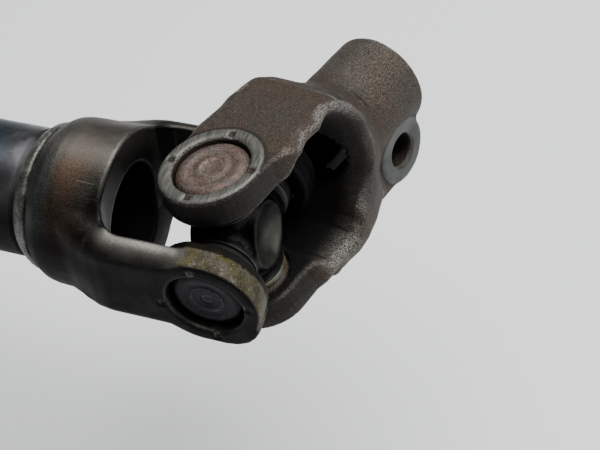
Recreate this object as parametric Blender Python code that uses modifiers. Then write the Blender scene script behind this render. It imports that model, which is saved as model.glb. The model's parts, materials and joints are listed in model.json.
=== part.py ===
"""Sliding universal joint shaft: a splined slide shaft, a tube with a welded fork,
a cross on four needle bearing cups, and a clamp yoke.  Lengths are in millimetres
and become metres through MM.  +X runs along the shaft from its free end to the joint."""
from math import cos, pi, radians, sin

import bmesh
import bpy

MM = 0.001

# Driving dimensions ---------------------------------------------------------
GAP = 0.3                 # clearance that touching pieces keep
JOINT_X = 225.0           # shaft end face to the centre of the cross
CROSS_TILT = -12.0        # cross about the fork pin, as the joint rests
YOKE_BEND = 69.8          # clamp yoke about its own pin, as the joint rests

CUP_R = 8.0               # bearing cups, 16 mm across
CUP_WALL = 1.2
CUP_END = 19.1            # closed end of each cup from the cross centre
CUP_MOUTH = 12.0
TRUNNION_R = 4.8
TRUNNION_END = 16.9
BOSS_R = 7.6              # round boss in the middle of the cross
NEEDLES = 20

TUBE_R = 14.75
TUBE_BORE_R = 11.6
TUBE_LENGTH = 120.0
TUBE_END_X = JOINT_X - 45.2
TUBE_START_X = TUBE_END_X - TUBE_LENGTH
BEAD_W = 3.7                # weld between the tube and the fork

FORK_EAR_END_R = 11.7
FORK_EAR_OUT = 20.8       # outer faces of the fork ears from the axis
FORK_EAR_IN = 13.9
FORK_ARM_IN = 16.2        # the arms are thinner than the ears
FORK_BODY_R = 19.0
FORK_BORE_R = 11.2
SADDLE_DEPTH = 24.0       # how far behind the cross the saddle is cut
SADDLE_FILLET = 5.0

YOKE_EAR_R = 11.6
YOKE_EAR_OUT = 19.2
YOKE_RING_R = 11.0        # ground ring standing proud on each yoke ear
YOKE_RING_OUT = 19.8
YOKE_EAR_IN = 12.8
YOKE_HALF_WIDTH = 11.06   # arms and lugs, each side of the yoke's middle plane
YOKE_THROAT = 27.6        # how deep the gap between its arms is
HUB_R = 12.3
HUB_START = 33.0
HUB_END = 56.3
HUB_BORE_R = 8.7
BOLT_X = 46.1
BOLT_DROP = 11.06         # bolt axis below the hub axis
BOLT_R = 4.3
LUG_R = 8.6
SLOT_W = 3.0

SPLINE_TEETH = 16
SPLINE_MAJOR_R = 10.0
SPLINE_MINOR_R = 8.8
SHAFT_LENGTH = 150.0
STUB_LENGTH = 26.0        # serrated end that a coupling clamps on
STUB_R = 8.4
SLEEVE_LENGTH = 56.0

ROUND = 48                # sides of a large turned shape
ALONG_X = (0.0, radians(90), 0.0)
SECTION_ALONG_X = (radians(90), 0.0, radians(90))
ALONG_Y = (radians(-90), 0.0, 0.0)
ALONG_MINUS_Y = (radians(90), 0.0, 0.0)
ALONG_Z = (0.0, 0.0, 0.0)
ALONG_MINUS_Z = (radians(180), 0.0, 0.0)


def clear_scene():
    for thing in list(bpy.data.objects):
        bpy.data.objects.remove(thing, do_unlink=True)


def make_collection(name):
    group = bpy.data.collections.new(name)
    bpy.context.scene.collection.children.link(group)
    return group


def material(name, colour, roughness, metallic):
    made = bpy.data.materials.new(name)
    made.use_nodes = True
    shader = made.node_tree.nodes["Principled BSDF"]
    shader.inputs["Base Color"].default_value = (*colour, 1.0)
    shader.inputs["Roughness"].default_value = roughness
    shader.inputs["Metallic"].default_value = metallic
    return made


def place(thing, at, turn, parent):
    thing.location = [value * MM for value in at]
    thing.rotation_euler = turn
    thing.parent = parent


def empty(name, at=(0, 0, 0), turn=(0, 0, 0), parent=None):
    thing = bpy.data.objects.new(name, None)
    thing.empty_display_size = 0.02
    PARTS.objects.link(thing)
    place(thing, at, turn, parent)
    return thing


def new_object(name, mesh, group):
    thing = bpy.data.objects.new(name, mesh)
    group.objects.link(thing)
    if group is CUTTERS:
        thing.hide_render = True
        thing.display_type = "WIRE"
    return thing


def turned(name, profile, closed=True, steps=ROUND, group=None):
    """Profile of (radius, height) turned about Z, its outer side listed top to bottom."""
    points = [(radius * MM, 0.0, height * MM) for radius, height in profile]
    edges = [(i, i + 1) for i in range(len(points) - 1)]
    if closed:
        edges.append((len(points) - 1, 0))
    mesh = bpy.data.meshes.new(name)
    mesh.from_pydata(points, edges, [])
    thing = new_object(name, mesh, group or PARTS)
    screw = thing.modifiers.new("turn", "SCREW")
    screw.axis = "Z"
    screw.angle = 2 * pi
    screw.steps = steps
    screw.render_steps = steps
    screw.use_merge_vertices = True
    screw.merge_threshold = 1e-6
    screw.use_smooth_shade = False
    return thing


def ring(name, outer, inner, low, high, steps=ROUND, group=None):
    profile = [(outer, high), (outer, low), (inner, low), (inner, high)]
    return turned(name, profile, True, steps, group)


def rod(name, radius, low, high, steps=ROUND, group=None, chamfer=0.0):
    profile = [(0, high), (radius - chamfer, high), (radius, high - chamfer),
               (radius, low + chamfer), (radius - chamfer, low), (0, low)]
    if chamfer == 0.0:
        profile = [(0, high), (radius, high), (radius, low), (0, low)]
    return turned(name, profile, False, steps, group)


def outline_solid(name, outline, low, high, group=None):
    """Outline of (x, y) points in millimetres, extruded along Z from low to high."""
    curve = bpy.data.curves.new(name + "_outline", "CURVE")
    curve.dimensions = "2D"
    curve.fill_mode = "BOTH"
    curve.extrude = (high - low) / 2 * MM
    spline = curve.splines.new("POLY")
    spline.points.add(len(outline) - 1)
    for point, (x, y) in zip(spline.points, outline):
        point.co = (x * MM, y * MM, 0.0, 1.0)
    spline.use_cyclic_u = True
    maker = bpy.data.objects.new(name + "_maker", curve)
    PARTS.objects.link(maker)
    bpy.context.view_layer.update()
    ready = maker.evaluated_get(bpy.context.evaluated_depsgraph_get())
    mesh = bpy.data.meshes.new_from_object(ready)
    bpy.data.objects.remove(maker, do_unlink=True)
    weld_and_shift(mesh, (low + high) / 2 * MM)
    return new_object(name, mesh, group or PARTS)


def weld_and_shift(mesh, height):
    work = bmesh.new()
    work.from_mesh(mesh)
    bmesh.ops.remove_doubles(work, verts=work.verts, dist=1e-6)
    bmesh.ops.translate(work, verts=work.verts, vec=(0.0, 0.0, height))
    bmesh.ops.recalc_face_normals(work, faces=work.faces)
    work.to_mesh(mesh)
    work.free()


def combine(thing, operation, *others):
    for other in others:
        step = thing.modifiers.new(operation.lower(), "BOOLEAN")
        step.operation = operation
        step.solver = "EXACT"
        step.object = other


def arc(x, y, radius, start, stop, pieces):
    """Points on an arc, angles in degrees."""
    angles = [radians(start + (stop - start) * i / pieces) for i in range(pieces + 1)]
    return [(x + radius * cos(angle), y + radius * sin(angle)) for angle in angles]


def toothed(major, minor, teeth, tip=0.5):
    """Outline of a spline: flat-topped teeth, tip is the share of a pitch at the top."""
    points = []
    pitch = 2 * pi / teeth
    for tooth in range(teeth):
        middle = tooth * pitch
        for radius, share in ((minor, -0.36), (major, -tip / 2), (major, tip / 2), (minor, 0.36)):
            angle = middle + share * pitch
            points.append((radius * cos(angle), radius * sin(angle)))
    return points


def lobed(radius, depth, lobes, outward):
    """Outline of a ring of needles: one rounded lobe for each needle."""
    points = []
    for step in range(lobes * 6):
        wave = abs(sin(pi * step / 6))
        reach = radius - depth * (1 - wave) if outward else radius + depth * (1 - wave)
        angle = 2 * pi * step / (lobes * 6)
        points.append((reach * cos(angle), reach * sin(angle)))
    return points


# Slide shaft ---------------------------------------------------------------
def build_slide_shaft(parent):
    spline = toothed(SPLINE_MAJOR_R, SPLINE_MINOR_R, SPLINE_TEETH)
    shaft = outline_solid("slide_shaft", spline, STUB_LENGTH, SHAFT_LENGTH)
    groove_x = 14.0
    groove_r = 4.5
    waist = STUB_R - 2.0
    stub_profile = [(0, STUB_LENGTH + 2), (STUB_R, STUB_LENGTH + 2),
                    (STUB_R, groove_x + groove_r), (waist, groove_x + groove_r * 0.6),
                    (waist, groove_x - groove_r * 0.6), (STUB_R, groove_x - groove_r),
                    (STUB_R, 1.0), (STUB_R - 1.0, 0), (0, 0)]
    stub = turned("stub_shape", stub_profile, False, ROUND, CUTTERS)
    combine(shaft, "UNION", stub)
    for thing in (shaft, stub):
        place(thing, (0, 0, 0), ALONG_X, parent)
    shaft.data.materials.append(material("ground_steel", (0.42, 0.42, 0.42), 0.32, 1.0))


# Tube and fork --------------------------------------------------------------
def build_tube(parent):
    tube = turned("shaft_tube", [
        (TUBE_R - 1.0, TUBE_END_X), (TUBE_R, TUBE_END_X - 1.0),
        (TUBE_R, TUBE_START_X + 0.8), (TUBE_R - 0.8, TUBE_START_X),
        (TUBE_BORE_R, TUBE_START_X), (TUBE_BORE_R, TUBE_END_X)])
    place(tube, (-JOINT_X, 0, 0), ALONG_X, parent)
    tube.data.materials.append(material("dark_tube_steel", (0.10, 0.085, 0.075), 0.45, 0.9))


def build_spline_sleeve(parent):
    start = TUBE_START_X + 1.5
    sleeve = rod("spline_sleeve", TUBE_BORE_R - GAP, start, start + SLEEVE_LENGTH)
    bore = outline_solid("sleeve_bore", toothed(SPLINE_MAJOR_R + 0.4, SPLINE_MINOR_R + 0.4,
                         SPLINE_TEETH, 0.52), start - 2, start + SLEEVE_LENGTH + 2, CUTTERS)
    combine(sleeve, "DIFFERENCE", bore)
    for thing in (sleeve, bore):
        place(thing, (-JOINT_X, 0, 0), ALONG_X, parent)
    sleeve.data.materials.append(material("nylon", (0.75, 0.72, 0.62), 0.5, 0.0))


def build_tube_mouth(parent):
    face = TUBE_START_X
    seal_in = SPLINE_MAJOR_R + 0.4
    seal = turned("dust_seal", [
        (TUBE_R, face - GAP), (TUBE_R, face - 5.0), (seal_in + 1.4, face - 5.0),
        (seal_in, face - 4.0), (seal_in, face - 3.0), (seal_in + 1.2, face - GAP)])
    seal.data.materials.append(material("black_rubber", (0.02, 0.02, 0.02), 0.7, 0.0))
    shell_in = TUBE_R + GAP
    shell_out = shell_in + 1.0
    retainer = turned("seal_retainer", [
        (shell_out, face + 7.0), (shell_out, face - 5.6), (shell_out - 0.7, face - 6.3),
        (seal_in + 1.8, face - 6.3), (seal_in + 1.8, face - 5.3), (shell_in, face - 5.3),
        (shell_in, face + 7.0)])
    retainer.data.materials.append(material("pressed_steel", (0.30, 0.30, 0.29), 0.4, 1.0))
    for thing in (seal, retainer):
        place(thing, (-JOINT_X, 0, 0), ALONG_X, parent)


def build_weld_bead(parent):
    start = TUBE_END_X - JOINT_X + GAP
    stop = start + BEAD_W - GAP
    bead = turned("weld_bead", [
        (TUBE_BORE_R + 0.2, stop), (TUBE_R + 1.6, stop), (TUBE_R + 2.1, stop - 0.6),
        (TUBE_R + 1.5, (start + stop) / 2), (TUBE_R + 0.4, start + 0.4),
        (TUBE_R - 0.4, start), (TUBE_BORE_R + 0.2, start)])
    place(bead, (0, 0, 0), ALONG_X, parent)
    bead.data.materials.append(material("weld_metal", (0.16, 0.15, 0.12), 0.55, 0.8))


def fork_arm_side():
    """Fork arm seen along its pin: straight flanks and a round end."""
    return arc(0, 0, FORK_EAR_END_R, 90, -90, 22) + [(-34, -FORK_EAR_END_R), (-34, FORK_EAR_END_R)]


def fork_arm_plan():
    """Both arms seen from above: a ramp from the body up to the flat outer faces."""
    upper = [(14, FORK_EAR_OUT), (-22, FORK_EAR_OUT), (-25.3, FORK_EAR_OUT - 0.5),
             (-28.6, FORK_BODY_R), (-32.5, FORK_BODY_R - 3.0)]
    return upper + [(x, -y) for x, y in reversed(upper)]


def fork_arm_section():
    """Both arms seen along the shaft: flat sides with bevelled outer edges."""
    bevel = 2.0
    quarter = [(FORK_EAR_OUT, FORK_EAR_END_R - bevel), (FORK_EAR_OUT - bevel, FORK_EAR_END_R)]
    right = quarter + [(-y, z) for y, z in reversed(quarter)]
    return right + [(y, -z) for y, z in reversed(right)]


def saddle_outline():
    """Gap between the fork arms, seen along the cross's other pin."""
    corner_x = -SADDLE_DEPTH + SADDLE_FILLET
    corner_y = FORK_ARM_IN - SADDLE_FILLET
    upper = arc(corner_x, corner_y, SADDLE_FILLET, 90, 180, 7)
    lower = arc(corner_x, -corner_y, SADDLE_FILLET, 180, 270, 7)
    return [(30, FORK_ARM_IN)] + upper + lower + [(30, -FORK_ARM_IN)]


def build_tube_fork(parent):
    neck = TUBE_END_X - JOINT_X + BEAD_W + GAP
    spigot_r = TUBE_BORE_R - GAP
    body = [(0, -19.0), (FORK_BODY_R - 1.6, -19.3), (FORK_BODY_R - 0.4, -21.0),
            (FORK_BODY_R, -24.0), (FORK_BODY_R, -35.0), (FORK_BODY_R - 0.3, -37.3),
            (FORK_BODY_R - 2.0, neck), (spigot_r, neck), (spigot_r, neck - 9.0),
            (0, neck - 9.0)]
    fork = turned("tube_fork", body, False)
    arms = outline_solid("fork_arms", fork_arm_plan(), -30, 30, CUTTERS)
    sides = outline_solid("fork_sides", fork_arm_side(), -30, 30, CUTTERS)
    section = outline_solid("fork_section", fork_arm_section(), -40, 20, CUTTERS)
    saddle = outline_solid("fork_saddle", saddle_outline(), -30, 30, CUTTERS)
    bosses = rod("fork_bosses", FORK_EAR_END_R - 0.02, 1 - FORK_EAR_OUT, FORK_EAR_OUT - 1,
                 ROUND, CUTTERS)
    gap = rod("fork_gap", 30, -FORK_EAR_IN, FORK_EAR_IN, 16, CUTTERS)
    bore = rod("fork_bore", FORK_BORE_R - 1.6, -60, -10, ROUND, CUTTERS)
    throat = rod("fork_throat", FORK_BORE_R, -40, -10, ROUND, CUTTERS)
    pin_bore = rod("fork_pin_bore", CUP_R + GAP, -30, 30, ROUND, CUTTERS)
    combine(arms, "INTERSECT", sides, section)
    combine(bosses, "DIFFERENCE", gap)
    combine(fork, "UNION", arms)
    combine(fork, "DIFFERENCE", saddle)
    combine(fork, "UNION", bosses)
    combine(fork, "DIFFERENCE", bore, throat, pin_bore)
    turns = {fork: ALONG_X, arms: ALONG_Z, sides: ALONG_MINUS_Y, section: SECTION_ALONG_X,
             saddle: ALONG_Z, bosses: ALONG_Y, gap: ALONG_Y, bore: ALONG_X, throat: ALONG_X,
             pin_bore: ALONG_Y}
    for thing, turn in turns.items():
        place(thing, (0, 0, 0), turn, parent)
    fork.data.materials.append(material("forged_steel", (0.14, 0.13, 0.13), 0.38, 0.95))


# Cross and bearings ---------------------------------------------------------
def build_cross(parent):
    rim = BOSS_R - 1.2
    boss = [(0, BOSS_R - 2.2), (rim - 1.5, BOSS_R - 1.4), (rim, BOSS_R), (BOSS_R, BOSS_R - 0.8),
            (BOSS_R, 0.8 - BOSS_R), (rim, -BOSS_R), (rim - 1.5, 1.4 - BOSS_R), (0, 2.2 - BOSS_R)]
    cross = turned("cross", boss, False)
    place(cross, (0, 0, 0), ALONG_X, parent)
    root_r = 7.0
    root_end = 9.2
    bar = [(0, TRUNNION_END), (TRUNNION_R - 0.5, TRUNNION_END), (TRUNNION_R, TRUNNION_END - 0.5),
           (TRUNNION_R, root_end), (root_r, root_end), (root_r, -root_end),
           (TRUNNION_R, -root_end), (TRUNNION_R, 0.5 - TRUNNION_END),
           (TRUNNION_R - 0.5, -TRUNNION_END), (0, -TRUNNION_END)]
    for name, turn in (("cross_fork_bar", ALONG_Y), ("cross_yoke_bar", ALONG_Z)):
        shape = turned(name, bar, False, 36, CUTTERS)
        place(shape, (0, 0, 0), turn, parent)
        combine(cross, "UNION", shape)
    cross.data.materials.append(material("cross_steel", (0.10, 0.09, 0.08), 0.42, 0.9))


def build_bearing(label, turn, parent, seal_parent):
    """One cup with its needles, thrust washer and seal, and the shield on the cross."""
    inner = CUP_R - CUP_WALL
    floor = CUP_END - CUP_WALL
    cup = turned("bearing_cup_" + label, [
        (0, CUP_END), (CUP_R - 0.8, CUP_END), (CUP_R, CUP_END - 0.8), (CUP_R, CUP_MOUTH),
        (inner, CUP_MOUTH), (inner, floor), (0, floor)], False)
    cup.data.materials.append(material("cup_" + label, (0.20, 0.15, 0.13), 0.5, 0.85))
    needles = outline_solid("needle_ring_" + label, lobed(inner - GAP, 0.25, NEEDLES, True),
                            CUP_MOUTH + 0.8, TRUNNION_END - 0.1)
    middle = outline_solid("needle_hole_" + label, lobed(TRUNNION_R + GAP, 0.25, NEEDLES, False),
                           CUP_MOUTH, TRUNNION_END + 1, CUTTERS)
    combine(needles, "DIFFERENCE", middle)
    needles.data.materials.append(material("needle_steel_" + label, (0.6, 0.6, 0.6), 0.2, 1.0))
    washer = rod("thrust_washer_" + label, inner - 0.9, TRUNNION_END + GAP, floor - GAP, 32)
    washer.data.materials.append(material("washer_nylon_" + label, (0.1, 0.25, 0.12), 0.5, 0.0))
    seal_r = TRUNNION_R + GAP
    seal = ring("cup_seal_" + label, CUP_R, seal_r, 10.2, CUP_MOUTH - GAP, 36)
    seal.data.materials.append(material("seal_rubber_" + label, (0.03, 0.03, 0.03), 0.6, 0.0))
    shield = ring("trunnion_shield_" + label, CUP_R - 0.2, seal_r, 9.5, 9.9, 36)
    shield.data.materials.append(material("shield_steel_" + label, (0.3, 0.3, 0.3), 0.4, 1.0))
    for thing in (cup, needles, middle, washer, seal):
        place(thing, (0, 0, 0), turn, parent)
    place(shield, (0, 0, 0), turn, seal_parent)


# Clamp yoke ------------------------------------------------------------------
def yoke_plan_outline():
    """Yoke seen along its pin: round ear ends and straight arms up to the hub."""
    ends = arc(0, 0, YOKE_EAR_R, 90, 270, 22)
    return ends + [(8, -YOKE_HALF_WIDTH - 0.3), (37.0, -YOKE_HALF_WIDTH - 0.3),
                   (37.0, YOKE_HALF_WIDTH + 0.3), (8, YOKE_HALF_WIDTH + 0.3)]


def yoke_side_outline():
    """Yoke seen along the bolt: (x, z) round the outside of both arms to the hub."""
    upper = [(-14, YOKE_EAR_OUT), (24, YOKE_EAR_OUT), (28.5, 18.4), (31.5, 16.6), (34.5, 13.8),
             (39.0, 11.5)]
    lower = [(39.0, -19.2), (33, -20.6), (26, -20.6), (20, -YOKE_EAR_OUT), (-14, -YOKE_EAR_OUT)]
    return upper + lower


def throat_outline():
    """Gap between the yoke arms: tighter at the ears, wider where the fork swings."""
    flank = 14.6
    radius = 9.0
    corner = YOKE_THROAT - radius
    upper = [(-20, YOKE_EAR_IN), (8.5, YOKE_EAR_IN), (11.5, flank)]
    upper += arc(corner, flank - radius, radius, 90, 0, 8)
    return upper + [(x, -z) for x, z in reversed(upper)]


def lug_outline():
    """Lug round the bolt hole, seen along the bolt."""
    tip = arc(BOLT_X, -BOLT_DROP, LUG_R, -90, 20, 9)
    return tip + [(53.0, 0), (36, 0), (36, -BOLT_DROP - LUG_R)]


def build_clamp_yoke(parent):
    yoke = outline_solid("clamp_yoke", yoke_plan_outline(), -22, 22)
    sides = outline_solid("yoke_sides", yoke_side_outline(), -30, 30, CUTTERS)
    rings = rod("yoke_rings", YOKE_RING_R, -YOKE_RING_OUT, YOKE_RING_OUT, ROUND, CUTTERS)
    hub = rod("yoke_hub", HUB_R, HUB_START, HUB_END, ROUND, CUTTERS, 0.8)
    lug = outline_solid("yoke_lug", lug_outline(), -YOKE_HALF_WIDTH, YOKE_HALF_WIDTH, CUTTERS)
    throat = outline_solid("yoke_throat", throat_outline(), -30, 30, CUTTERS)
    bore = outline_solid("yoke_bore", toothed(HUB_BORE_R, HUB_BORE_R - 0.5, 30), 20, 70, CUTTERS)
    pin_bore = rod("yoke_pin_bore", CUP_R + GAP, -30, 30, ROUND, CUTTERS)
    bolt_hole = rod("yoke_bolt_hole", BOLT_R, -30, 30, 32, CUTTERS)
    slot = outline_solid("yoke_slot", [(32, -30), (70, -30), (70, 0), (32, 0)],
                         -SLOT_W / 2, SLOT_W / 2, CUTTERS)
    combine(yoke, "INTERSECT", sides)
    combine(yoke, "UNION", rings, hub, lug)
    combine(yoke, "DIFFERENCE", throat, bore, pin_bore, bolt_hole, slot)
    turns = {yoke: ALONG_Z, sides: ALONG_MINUS_Y, rings: ALONG_Z, hub: ALONG_X,
             lug: ALONG_MINUS_Y, throat: ALONG_MINUS_Y, bore: ALONG_X, pin_bore: ALONG_Z,
             slot: ALONG_MINUS_Y}
    for thing, turn in turns.items():
        place(thing, (0, 0, 0), turn, parent)
    place(bolt_hole, (BOLT_X, 0, -BOLT_DROP), ALONG_Y, parent)
    yoke.data.materials.append(material("cast_steel", (0.17, 0.155, 0.14), 0.6, 0.75))


clear_scene()
PARTS = make_collection("universal_joint_shaft")
CUTTERS = make_collection("cutters")

shaft_axis = empty("shaft_axis")
fork_axis = empty("fork_axis", at=(JOINT_X, 0, 0), parent=shaft_axis)
cross_axis = empty("cross_axis", turn=(0, radians(CROSS_TILT), 0), parent=fork_axis)
yoke_axis = empty("yoke_axis", turn=(0, 0, radians(YOKE_BEND)), parent=cross_axis)

build_slide_shaft(shaft_axis)
build_tube(fork_axis)
build_spline_sleeve(fork_axis)
build_tube_mouth(fork_axis)
build_weld_bead(fork_axis)
build_tube_fork(fork_axis)
build_cross(cross_axis)
build_bearing("fork_near", ALONG_MINUS_Y, fork_axis, cross_axis)
build_bearing("fork_far", ALONG_Y, fork_axis, cross_axis)
build_bearing("yoke_upper", ALONG_Z, yoke_axis, cross_axis)
build_bearing("yoke_lower", ALONG_MINUS_Z, yoke_axis, cross_axis)
build_clamp_yoke(yoke_axis)
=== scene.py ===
import json
from math import cos, pi, radians, sin

import bmesh
import bpy
import numpy as np
from mathutils import Matrix, Vector


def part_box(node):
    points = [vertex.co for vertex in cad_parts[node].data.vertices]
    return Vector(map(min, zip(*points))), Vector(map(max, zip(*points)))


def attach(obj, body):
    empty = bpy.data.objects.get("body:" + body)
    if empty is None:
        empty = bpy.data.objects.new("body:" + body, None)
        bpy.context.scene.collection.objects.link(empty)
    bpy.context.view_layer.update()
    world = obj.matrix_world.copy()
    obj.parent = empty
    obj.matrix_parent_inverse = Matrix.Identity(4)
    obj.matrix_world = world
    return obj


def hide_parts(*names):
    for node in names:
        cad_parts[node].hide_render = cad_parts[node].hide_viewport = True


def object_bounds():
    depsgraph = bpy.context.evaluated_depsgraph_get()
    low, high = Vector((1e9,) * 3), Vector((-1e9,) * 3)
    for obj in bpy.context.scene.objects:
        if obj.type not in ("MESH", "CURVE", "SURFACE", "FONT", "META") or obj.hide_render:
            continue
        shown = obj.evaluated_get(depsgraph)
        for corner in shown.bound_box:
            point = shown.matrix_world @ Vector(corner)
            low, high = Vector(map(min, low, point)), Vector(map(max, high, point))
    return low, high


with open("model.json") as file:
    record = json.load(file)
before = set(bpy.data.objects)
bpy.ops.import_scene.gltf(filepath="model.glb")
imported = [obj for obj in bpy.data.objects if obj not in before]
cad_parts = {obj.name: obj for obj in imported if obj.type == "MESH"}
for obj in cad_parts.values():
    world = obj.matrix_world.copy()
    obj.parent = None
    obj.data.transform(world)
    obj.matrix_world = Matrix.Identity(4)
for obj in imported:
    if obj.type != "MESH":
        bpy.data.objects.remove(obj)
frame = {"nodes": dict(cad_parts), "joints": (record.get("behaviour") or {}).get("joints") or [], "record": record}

cad_box = [list(corner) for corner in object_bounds()]


# Fork ----------------------------------------------------------------------------
# A steel forging welded to the tube: a hollow round body, cut across by a saddle, with
# two arms that end in ears.  The ears are bored and faced for the bearing cups, which
# are pressed in and held by punched stakes.
MM = 0.001
EAR_BORE_R = 8.35
EAR_CHAMFER = 0.5
FORK_EAR_OUT = 20.8
FORK_EAR_IN = 13.9
FORK_EAR_R = 11.65
FORK_ARM_IN = 16.2
FORK_BODY_R = 19.0
FORK_BORE_R = 11.2
SADDLE_X = -24.0
SADDLE_CORNER_R = 5.5
STAKE_ANGLES = (12, 102, 192, 282)
STAKE_DEPTH = 0.55
STEP = 0.4

joints = {joint["name"]: joint for joint in frame["joints"]}
joint_centre = Vector(joints["fork_pivot"]["pos_m"])
X_WAY = Vector((1, 0, 0))
Y_WAY = Vector((0, 1, 0))
Z_WAY = Vector((0, 0, 1))


def place(x_axis, z_axis, origin=joint_centre):
    """Matrix from millimetres in a part's own frame to the shared frame in metres."""
    y_axis = z_axis.cross(x_axis)
    turn = Matrix((x_axis, y_axis, z_axis)).transposed().to_4x4()
    return Matrix.Translation(origin) @ turn @ Matrix.Scale(MM, 4)


FORK_PLACE = place(X_WAY, Z_WAY)


def round_join(a, b, radius):
    """Union of two distance fields with a fillet of this radius."""
    near = np.hypot(np.maximum(radius - a, 0), np.maximum(radius - b, 0))
    return np.maximum(radius, np.minimum(a, b)) - near


def round_common(a, b, radius):
    """Intersection of two distance fields with its edge rounded to this radius."""
    far = np.hypot(np.maximum(radius + a, 0), np.maximum(radius + b, 0))
    return np.minimum(-radius, np.maximum(a, b)) + far


def round_cut(a, b, radius):
    """Field a with field b taken out of it, the edge rounded to this radius."""
    return round_common(a, -b, radius)


def outline_distance(points, u, v):
    """Signed distance from an outline given by its corners, negative inside."""
    best = np.full(np.broadcast(u, v).shape, np.inf)
    inside = np.zeros(best.shape, bool)
    for (u0, v0), (u1, v1) in zip(points, points[1:] + points[:1]):
        du, dv = u1 - u0, v1 - v0
        along = np.clip(((u - u0) * du + (v - v0) * dv) / (du * du + dv * dv), 0, 1)
        best = np.minimum(best, (u - u0 - along * du) ** 2 + (v - v0 - along * dv) ** 2)
        if dv:
            inside ^= ((v0 > v) != (v1 > v)) & (u < du * (v - v0) / dv + u0)
    return np.where(inside, -1, 1) * np.sqrt(best)


def arc(x, y, radius, start, stop, pieces=12):
    """Points on an arc, angles in degrees."""
    angles = [radians(start + (stop - start) * i / pieces) for i in range(pieces + 1)]
    return [(x + radius * cos(angle), y + radius * sin(angle)) for angle in angles]


def mirrored(points):
    """An outline's upper half, with its lower half added in mirror image."""
    return points + [(x, -y) for x, y in reversed(points)]


def smooth_step(value, start, stop):
    """From 0 at start to 1 at stop, without a corner at either end."""
    share = np.clip((value - start) / (stop - start), 0, 1)
    return share * share * (3 - 2 * share)


def ripple(x, y, z, size, seed):
    """Gentle unevenness of a forged or cast skin, mostly within -1 to 1, in bumps of this size."""
    draw = np.random.default_rng(seed)
    total = 0
    for way in draw.normal(size=(7, 3)):
        pitch = 2 * pi / (size * draw.uniform(0.8, 1.6))
        way = way / np.linalg.norm(way) * pitch
        total = total + np.sin(x * way[0] + y * way[1] + z * way[2] + draw.uniform(0, 6.3))
    return total / 4


def grid(low, high, step):
    """Open grid of x, y and z between two corners."""
    sides = [np.arange(a, b + step, step) for a, b in zip(low, high)]
    return np.meshgrid(*sides, indexing="ij", sparse=True)


def skin_points(field, axis):
    """Where the field changes sign along one axis, as grid positions."""
    head = [slice(None)] * 3
    tail = [slice(None)] * 3
    head[axis], tail[axis] = slice(0, -1), slice(1, None)
    a, b = field[tuple(head)], field[tuple(tail)]
    crossing = (a < 0) != (b < 0)
    cells = np.argwhere(crossing)
    points = cells.astype(float)
    points[:, axis] += a[crossing] / (a[crossing] - b[crossing])
    return cells, points, a[crossing] < 0


def skin(field, low, step):
    """Closed quad mesh where the field is zero: one point for each cell that it crosses."""
    shape = np.array(field.shape) - 1
    total = np.zeros((int(np.prod(shape)), 3))
    count = np.zeros(len(total))
    faces = []
    for axis in range(3):
        cells, points, outwards = skin_points(field, axis)
        side, up = (axis + 1) % 3, (axis + 2) % 3
        corners = []
        for back_side, back_up in ((0, 0), (1, 0), (1, 1), (0, 1)):
            cell = cells.copy()
            cell[:, side] -= back_side
            cell[:, up] -= back_up
            index = np.ravel_multi_index(cell.T, shape)
            count += np.bincount(index, minlength=len(total))
            for k in range(3):
                total[:, k] += np.bincount(index, points[:, k], len(total))
            corners.append(index)
        quads = np.stack(corners, axis=1)
        faces.append(np.where(outwards[:, None], quads, quads[:, ::-1]))
    used = np.flatnonzero(count)
    renumber = np.zeros(len(total), int)
    renumber[used] = np.arange(len(used))
    points = total[used] / count[used, None]
    return points * step + np.array(low), renumber[np.concatenate(faces)], used, shape


def new_piece(name, points, faces, matrix):
    """Object at the origin whose mesh holds its place."""
    mesh = bpy.data.meshes.new(name)
    mesh.from_pydata(points, [], faces)
    mesh.transform(matrix)
    mesh.shade_smooth()
    mesh.update()
    piece = bpy.data.objects.new(name, mesh)
    bpy.context.scene.collection.objects.link(piece)
    return piece


def bend_of(field, step, reach=2):
    """How sharply the field's level surface bends: above 0 on edges, below 0 in hollows."""
    bend = np.zeros_like(field)
    core = tuple(slice(reach, -reach) for _ in range(3))
    middle = field[core]
    for axis in range(3):
        ahead, behind = list(core), list(core)
        ahead[axis] = slice(2 * reach, None)
        behind[axis] = slice(0, field.shape[axis] - 2 * reach)
        bend[core] += field[tuple(ahead)] + field[tuple(behind)] - 2 * middle
    return bend / (step * reach) ** 2


def solid(name, field, low, step, matrix, zones=None):
    """Piece from a distance field in millimetres, with its bend and zones for the material."""
    points, faces, used, shape = skin(field, low, step)
    piece = new_piece(name, points.tolist(), faces.tolist(), matrix)
    layers = {"bend": bend_of(field, step)[:-1, :-1, :-1].ravel()[used]}
    for label, share in (zones or {}).items():
        layers[label] = share(*points.T)
    for label, values in layers.items():
        layer = piece.data.attributes.new(label, "FLOAT", "POINT")
        layer.data.foreach_set("value", values.astype(np.float32))
    return piece


def stakes(x, y, height, face, angles):
    """Punch marks round a bore, which push metal over the cup's rim."""
    marks = np.full(np.broadcast(x, y, height).shape, 9.0)
    for angle in angles:
        along = x * cos(radians(angle)) + y * sin(radians(angle))
        across = -x * sin(radians(angle)) + y * cos(radians(angle))
        box = np.maximum(np.abs(along - EAR_BORE_R - 0.9) - 1.1, np.abs(across) - 0.75)
        marks = np.minimum(marks, np.maximum(box, face - STAKE_DEPTH - height))
    return marks


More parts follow.
